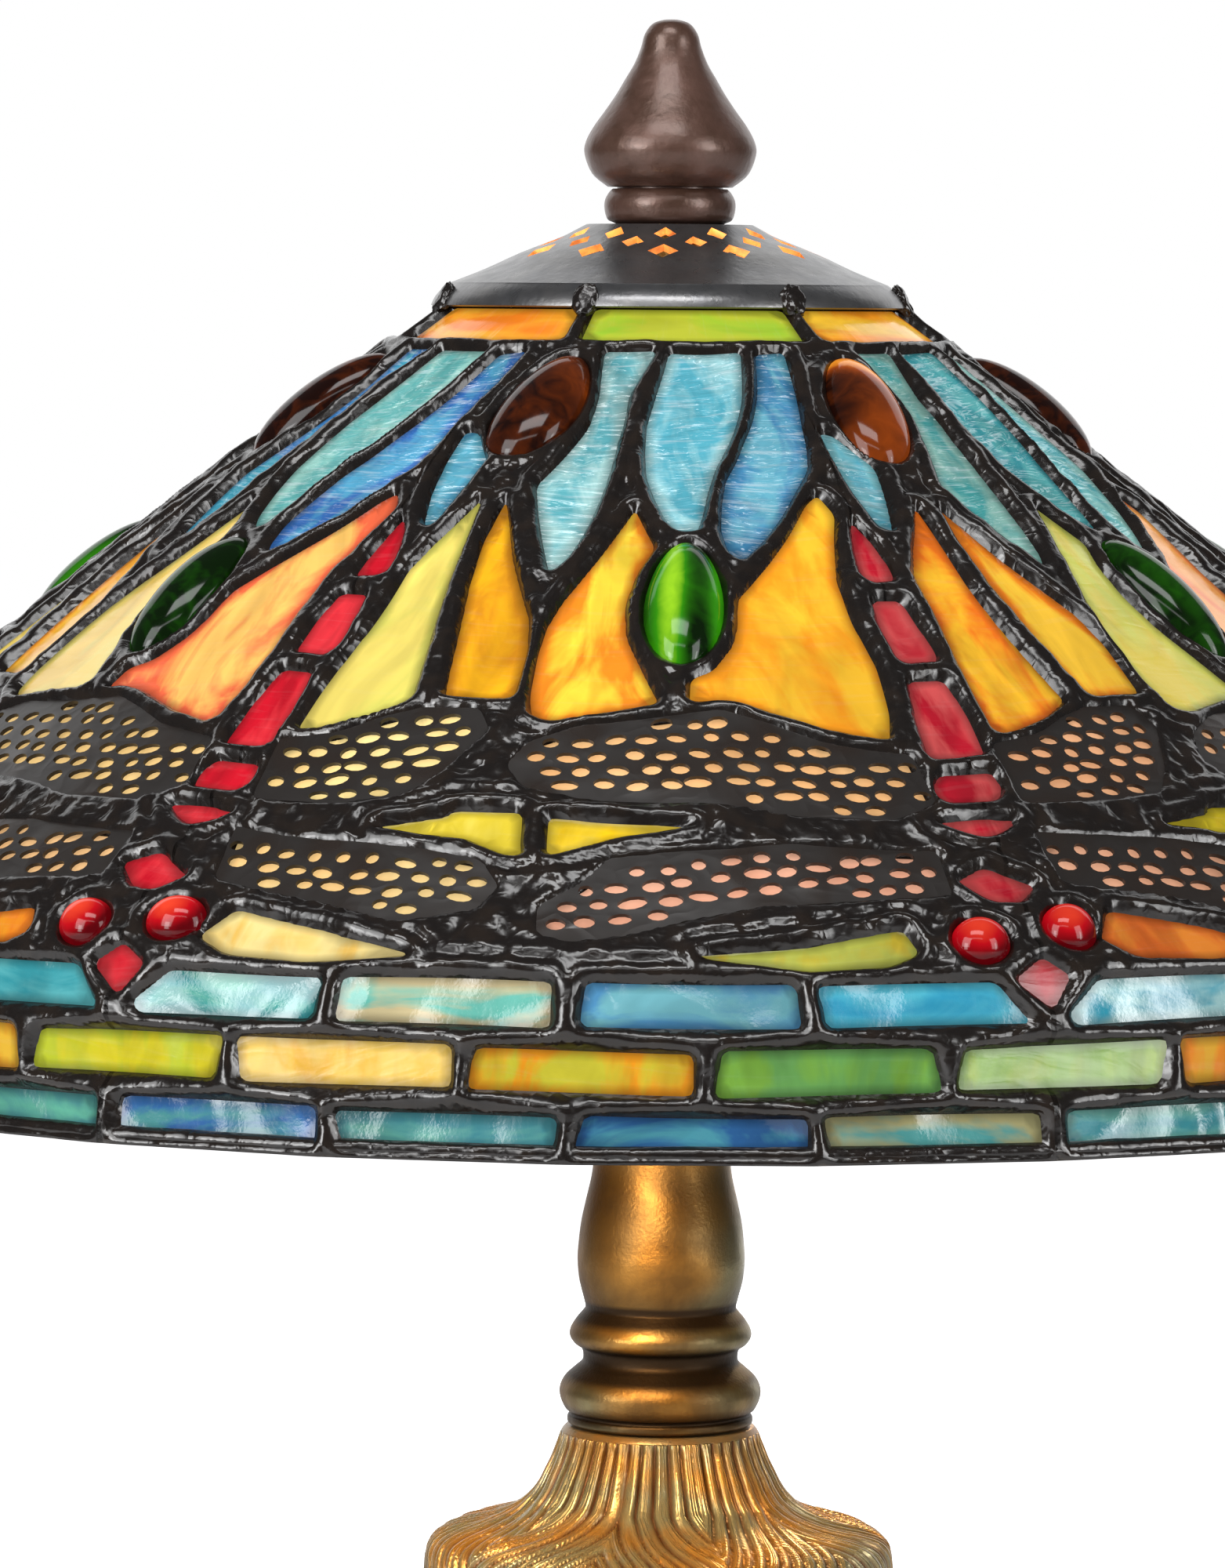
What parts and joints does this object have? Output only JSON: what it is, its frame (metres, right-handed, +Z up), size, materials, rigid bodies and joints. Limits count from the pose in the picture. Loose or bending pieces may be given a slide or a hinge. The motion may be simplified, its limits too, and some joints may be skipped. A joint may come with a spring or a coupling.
{
  "type": "table lamp",
  "caption": "Table lamp with a leaded glass dragonfly shade, vented cap and finial, twin bulb cluster, turned bronze column and baluster base.",
  "frame": {"origin": "centre of the underside of the felt pad, on the table", "axes": "+Z up the lamp's axis; -Y faces the front, where the front bulb points; +X to the right"},
  "size_m": [0.3034, 0.3034, 0.4573],
  "materials": {
    "bronze": "antique bronze, satin, dark in the hollows",
    "dark_bronze": "dark mahogany bronze, satin, pebbled",
    "gunmetal": "satin gunmetal, brushed lip",
    "solder": "dark patina solder, glossy and lumpy",
    "brass": "bright brass, satin",
    "steel": "zinc-plated steel",
    "iron": "rough cast iron",
    "felt": "brown felt",
    "black_plastic": "black phenolic",
    "bulb_glass": "frosted, lit warm",
    "green_glass": "opalescent green and amber, lit from behind",
    "blue_glass": "streaky teal and sky blue, lit from behind",
    "amber_glass": "streaky yellow to deep amber, lit from behind",
    "red_glass": "streaky crimson, lit from behind",
    "wing_glass": "cream to pink glass behind pierced metal wings"
  },
  "bodies": {
    "stand": {"felt_pad": "felt", "ballast_plate": "iron", "cast_foot": "bronze", "lead_bushing": "black_plastic", "foot_nut": "steel", "baluster_body": "bronze", "column": "bronze", "stem_washer": "brass", "lamp_pipe": "steel", "cluster_hub": "brass", "front_socket_nipple": "brass", "back_socket_nipple": "brass", "front_socket": "brass", "back_socket": "brass", "shade_rod": "brass", "seat_nut": "brass", "inner_cap": "gunmetal"},
    "shade": {"petal_glass_1": "blue_glass", "petal_glass_2": "blue_glass", "petal_glass_3": "blue_glass", "petal_glass_4": "blue_glass", "petal_glass_5": "blue_glass", "petal_glass_6": "blue_glass", "petal_glass_7": "blue_glass", "ray_glass_1": "amber_glass", "ray_glass_2": "amber_glass", "ray_glass_3": "amber_glass", "ray_glass_4": "amber_glass", "ray_glass_5": "amber_glass", "ray_glass_6": "amber_glass", "ray_glass_7": "amber_glass", "tail_glass_1": "red_glass", "tail_glass_2": "red_glass", "tail_glass_3": "red_glass", "tail_glass_4": "red_glass", "tail_glass_5": "red_glass", "tail_glass_6": "red_glass", "tail_glass_7": "red_glass", "wing_panel_1": "wing_glass", "wing_panel_2": "wing_glass", "wing_panel_3": "wing_glass", "wing_panel_4": "wing_glass", "wing_panel_5": "wing_glass", "wing_panel_6": "wing_glass", "wing_panel_7": "wing_glass", "collar_glass": "green_glass", "upper_border_glass": "blue_glass", "middle_border_glass": "green_glass", "lower_border_glass": "blue_glass", "solder_lattice": "solder", "rim_ring": "solder", "vented_cap": "gunmetal"},
    "finial": {"finial_collar": "dark_bronze", "finial": "dark_bronze"},
    "front_bulb": {"front_bulb_base": "brass", "front_bulb_glass": "bulb_glass"},
    "back_bulb": {"back_bulb_base": "brass", "back_bulb_glass": "bulb_glass"},
    "front_key": {"front_turn_key": "black_plastic"},
    "back_key": {"back_turn_key": "black_plastic"}
  },
  "joints": [
    {"name": "shade_lift", "type": "slide", "parent": "stand", "child": "shade", "axis": [0, 0, 1], "range_m": [0, 0.15]},
    {"name": "finial_turn", "type": "hinge", "parent": "shade", "child": "finial", "pos_m": [0, 0, 0.43], "axis": [0, 0, 1], "continuous": true},
    {"name": "front_bulb_turn", "type": "hinge", "parent": "stand", "child": "front_bulb", "pos_m": [-0.01296, -0.04238, 0.32581], "axis": [-0.2879, -0.9418, 0.1736], "continuous": true},
    {"name": "front_key_turn", "type": "hinge", "parent": "stand", "child": "front_key", "pos_m": [-0.00864, -0.02825, 0.32321], "axis": [0.9563, -0.2924, 0], "continuous": true},
    {"name": "back_bulb_turn", "type": "hinge", "parent": "stand", "child": "back_bulb", "pos_m": [0.01296, 0.04238, 0.32581], "axis": [0.2879, 0.9418, 0.1736], "continuous": true},
    {"name": "back_key_turn", "type": "hinge", "parent": "stand", "child": "back_key", "pos_m": [0.00864, 0.02825, 0.32321], "axis": [-0.9563, 0.2924, 0], "continuous": true}
  ]
}
